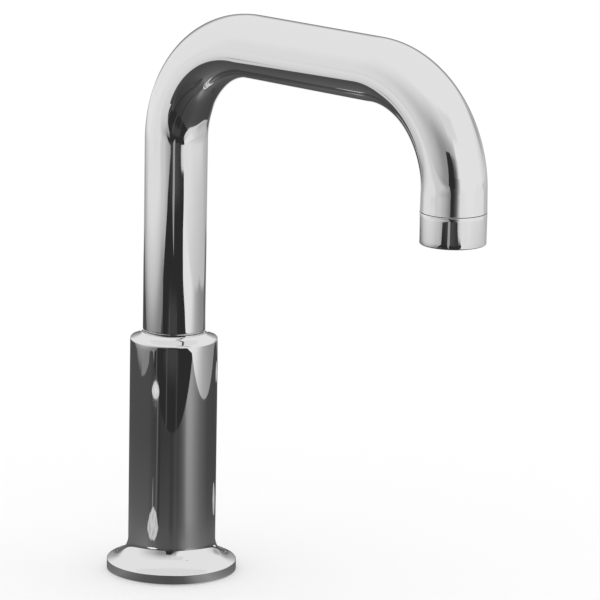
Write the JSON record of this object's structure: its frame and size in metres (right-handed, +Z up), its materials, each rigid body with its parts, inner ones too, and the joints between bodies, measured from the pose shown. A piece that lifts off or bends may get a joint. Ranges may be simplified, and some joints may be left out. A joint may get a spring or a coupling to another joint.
{
  "type": "deck-mount bath spout",
  "caption": "Polished deck-mount bath spout: a bent tube swivels in a flanged column, with a removable outlet ring and a threaded shank clamped below the deck.",
  "frame": {"origin": "on the column's axis, in the plane of the deck's top face, where the flange rests", "axes": "+Z up along the column's axis, +X along the spout's reach at rest, the set screw on the -X side"},
  "size_m": [0.2384, 0.0664, 0.3698],
  "materials": {
    "polished_chrome": "mirror-polished chrome plate",
    "brass": "machined brass",
    "black_rubber": "matte moulded rubber",
    "white_acetal": "smooth satin plastic",
    "stainless_steel": "plain stainless steel"
  },
  "bodies": {
    "column": {"column_body": "polished_chrome", "waterway_body": "brass", "swivel_stop_pin": "stainless_steel", "thrust_washer": "white_acetal", "lower_guide_bush": "white_acetal", "upper_guide_bush": "white_acetal", "column_wiper_seal": "black_rubber", "deck_shank": "brass", "shank_o_ring_lower": "black_rubber", "shank_o_ring_upper": "black_rubber", "shank_gasket": "black_rubber", "flange_gasket": "black_rubber", "set_screw": "stainless_steel"},
    "spout": {"spout_tube": "polished_chrome", "swivel_tail": "brass", "swivel_o_ring_lower": "black_rubber", "swivel_o_ring_upper": "black_rubber", "retaining_clip": "stainless_steel", "outlet_ferrule": "brass"},
    "outlet_insert": {"flow_straightener": "white_acetal", "debris_screen": "stainless_steel", "outlet_washer": "black_rubber"},
    "outlet_collar": {"outlet_ring": "polished_chrome"},
    "deck_washers": {"deck_rubber_washer": "black_rubber", "deck_steel_washer": "stainless_steel"},
    "nut": {"lock_nut": "brass"}
  },
  "joints": [
    {"name": "spout_swivel", "type": "hinge", "parent": "column", "child": "spout", "pos_m": [0, 0, 0.0875], "axis": [0, 0, 1], "range_deg": [-60, 60]},
    {"name": "insert_travel", "type": "slide", "parent": "spout", "child": "outlet_insert", "axis": [0, 0, -1], "range_m": [0, 0.007]},
    {"name": "outlet_ring_turn", "type": "hinge", "parent": "outlet_insert", "child": "outlet_collar", "pos_m": [0.189, 0, 0.21], "axis": [0, 0, -1], "range_deg": [0, 2520]},
    {"name": "washer_travel", "type": "slide", "parent": "column", "child": "deck_washers", "axis": [0, 0, 1], "range_m": [-0.02, 0.017]},
    {"name": "lock_nut_turn", "type": "hinge", "parent": "deck_washers", "child": "nut", "pos_m": [0, 0, -0.0345], "axis": [0, 0, 1], "range_deg": [-3969, 3373]}
  ],
  "couplings": [
    {"joint": "insert_travel", "follows": "outlet_ring_turn", "m_per_rad": 0.00015915},
    {"joint": "washer_travel", "follows": "lock_nut_turn", "m_per_rad": 0.00028871}
  ]
}
